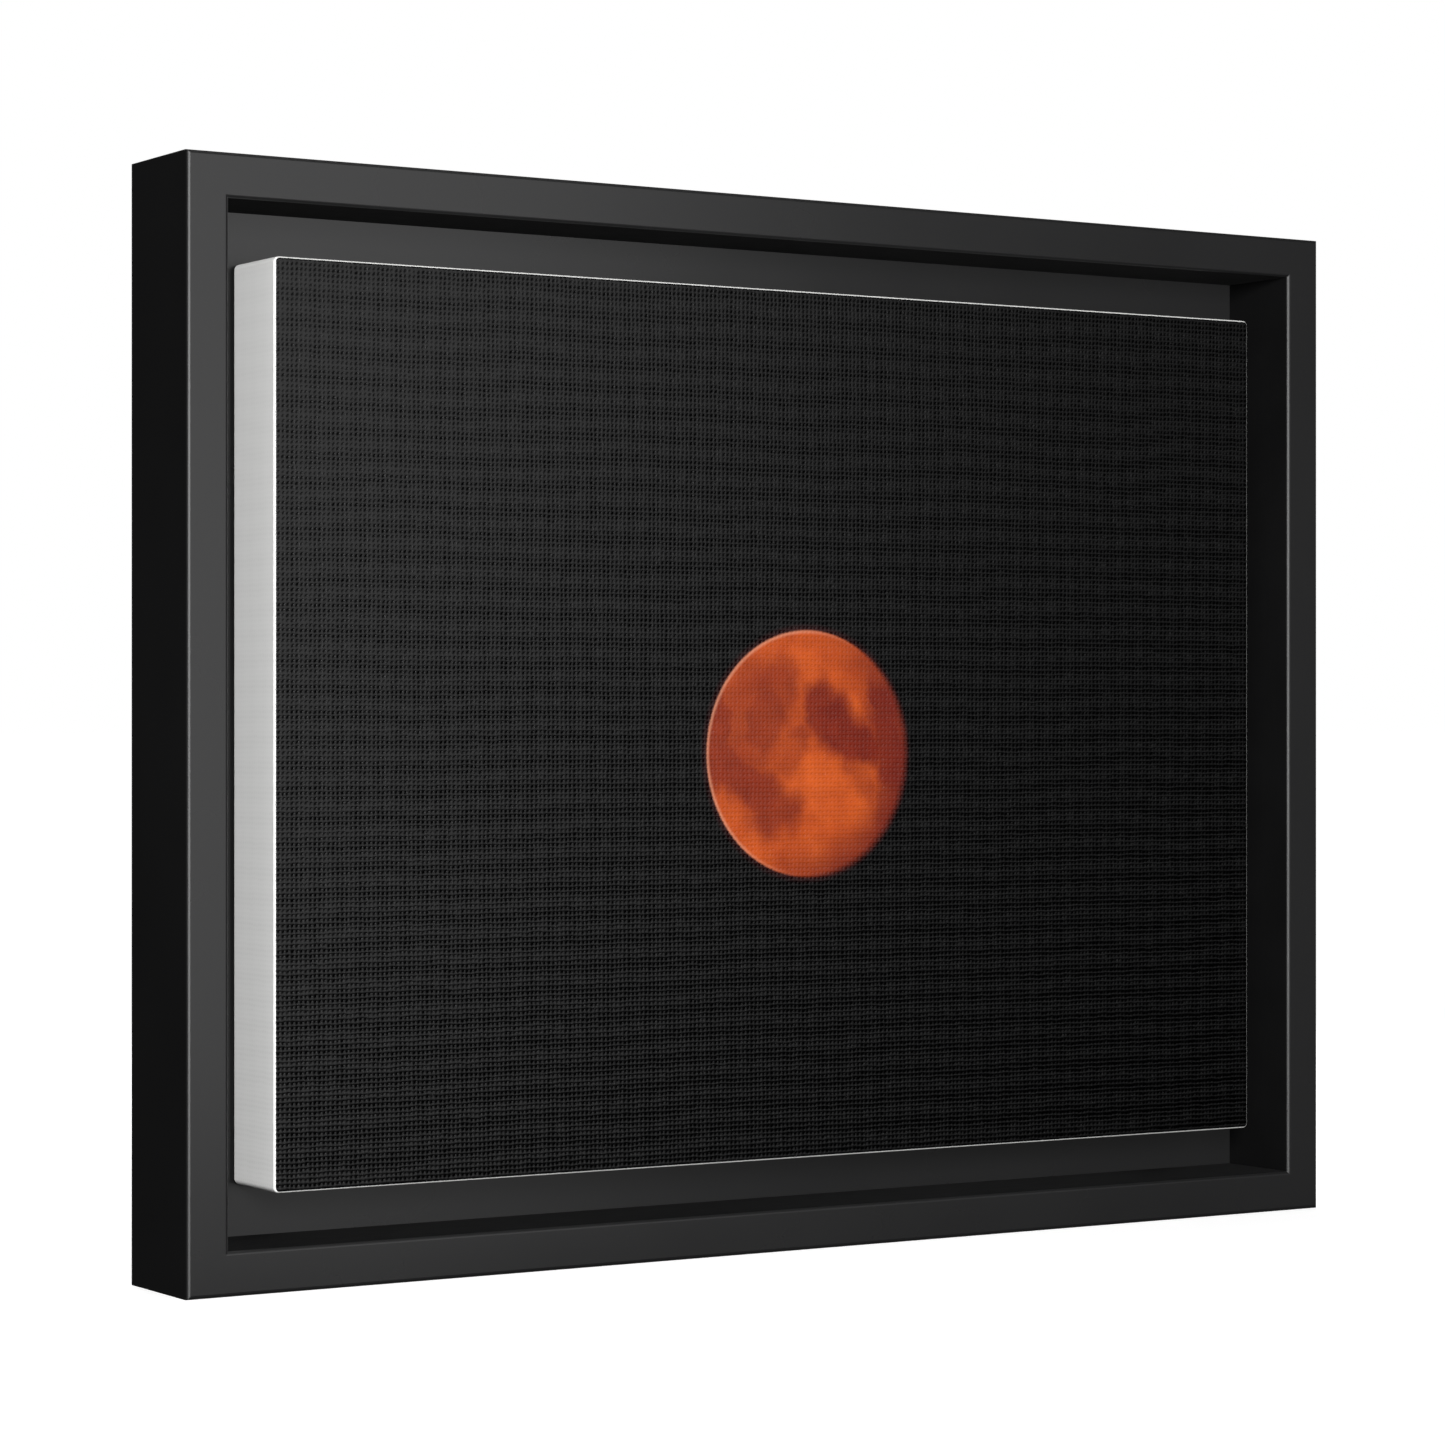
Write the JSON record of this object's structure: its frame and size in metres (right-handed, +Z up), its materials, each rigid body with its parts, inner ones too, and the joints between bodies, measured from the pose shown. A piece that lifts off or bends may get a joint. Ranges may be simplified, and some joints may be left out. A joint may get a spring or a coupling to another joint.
{
  "type": "stretched canvas",
  "caption": "Landscape canvas stretched on keyed wooden bars and screwed into a deep black floating frame, with D-ring hangers on its back.",
  "frame": {"origin": "on the floor under the middle of the object's box, as it stands on the frame's bottom edge", "axes": "+X to the right across the picture, +Y from the picture to the back, +Z up"},
  "size_m": [0.4706, 0.0492, 0.369],
  "materials": {
    "black_lacquer": "black satin lacquer",
    "pine": "planed, bare",
    "beech": "sawn, bare",
    "cloth": "primed cotton, matt, printed on its front",
    "zinc": "zinc plated",
    "nickel": "nickel plated",
    "bright_steel": "drawn wire and strip",
    "black_rubber": "matt"
  },
  "bodies": {
    "framed_canvas": {"bumper_left": "black_rubber", "bumper_right": "black_rubber", "canvas_cloth": "cloth", "fixing_screw_bottom_1": "zinc", "fixing_screw_bottom_2": "zinc", "fixing_screw_left_1": "zinc", "fixing_screw_left_2": "zinc", "fixing_screw_right_1": "zinc", "fixing_screw_right_2": "zinc", "fixing_screw_top_1": "zinc", "fixing_screw_top_2": "zinc", "frame_rail_bottom": "black_lacquer", "frame_rail_left": "black_lacquer", "frame_rail_right": "black_lacquer", "frame_rail_top": "black_lacquer", "hanger_screw_left": "zinc", "hanger_screw_right": "zinc", "hanger_strap_left": "nickel", "hanger_strap_right": "nickel", "staple_bottom_1": "bright_steel", "staple_bottom_2": "bright_steel", "staple_bottom_3": "bright_steel", "staple_bottom_4": "bright_steel", "staple_bottom_5": "bright_steel", "staple_left_1": "bright_steel", "staple_left_2": "bright_steel", "staple_left_3": "bright_steel", "staple_left_4": "bright_steel", "staple_right_1": "bright_steel", "staple_right_2": "bright_steel", "staple_right_3": "bright_steel", "staple_right_4": "bright_steel", "staple_top_1": "bright_steel", "staple_top_2": "bright_steel", "staple_top_3": "bright_steel", "staple_top_4": "bright_steel", "staple_top_5": "bright_steel", "stretcher_bar_bottom": "pine", "stretcher_bar_left": "pine", "stretcher_bar_right": "pine", "stretcher_bar_top": "pine", "v_nail_bottom_left_1": "bright_steel", "v_nail_bottom_left_2": "bright_steel", "v_nail_bottom_right_1": "bright_steel", "v_nail_bottom_right_2": "bright_steel", "v_nail_top_left_1": "bright_steel", "v_nail_top_left_2": "bright_steel", "v_nail_top_right_1": "bright_steel", "v_nail_top_right_2": "bright_steel"},
    "key_bottom_left_level": {"key_bottom_left_level": "beech"},
    "key_bottom_left_upright": {"key_bottom_left_upright": "beech"},
    "key_bottom_right_level": {"key_bottom_right_level": "beech"},
    "key_bottom_right_upright": {"key_bottom_right_upright": "beech"},
    "key_top_left_level": {"key_top_left_level": "beech"},
    "key_top_left_upright": {"key_top_left_upright": "beech"},
    "key_top_right_level": {"key_top_right_level": "beech"},
    "key_top_right_upright": {"key_top_right_upright": "beech"},
    "hanger_ring_left": {"hanger_ring_left": "nickel"},
    "hanger_ring_right": {"hanger_ring_right": "nickel"}
  },
  "joints": [
    {"name": "key_bottom_left_level_slide", "type": "slide", "parent": "framed_canvas", "child": "key_bottom_left_level", "axis": [1, 0, 0], "range_m": [0, 0.02]},
    {"name": "key_bottom_left_upright_slide", "type": "slide", "parent": "framed_canvas", "child": "key_bottom_left_upright", "axis": [0, 0, 1], "range_m": [0, 0.02]},
    {"name": "key_bottom_right_level_slide", "type": "slide", "parent": "framed_canvas", "child": "key_bottom_right_level", "axis": [-1, 0, 0], "range_m": [0, 0.02]},
    {"name": "key_bottom_right_upright_slide", "type": "slide", "parent": "framed_canvas", "child": "key_bottom_right_upright", "axis": [0, 0, 1], "range_m": [0, 0.02]},
    {"name": "key_top_left_level_slide", "type": "slide", "parent": "framed_canvas", "child": "key_top_left_level", "axis": [1, 0, 0], "range_m": [0, 0.02]},
    {"name": "key_top_left_upright_slide", "type": "slide", "parent": "framed_canvas", "child": "key_top_left_upright", "axis": [0, 0, -1], "range_m": [0, 0.02]},
    {"name": "key_top_right_level_slide", "type": "slide", "parent": "framed_canvas", "child": "key_top_right_level", "axis": [-1, 0, 0], "range_m": [0, 0.02]},
    {"name": "key_top_right_upright_slide", "type": "slide", "parent": "framed_canvas", "child": "key_top_right_upright", "axis": [0, 0, -1], "range_m": [0, 0.02]},
    {"name": "hanger_ring_left_swing", "type": "hinge", "parent": "framed_canvas", "child": "hanger_ring_left", "pos_m": [-0.2053, 0.022, 0.2583], "axis": [0, 0, 1], "range_deg": [0, 160]},
    {"name": "hanger_ring_right_swing", "type": "hinge", "parent": "framed_canvas", "child": "hanger_ring_right", "pos_m": [0.2053, 0.022, 0.2583], "axis": [0, 0, -1], "range_deg": [0, 160]}
  ]
}
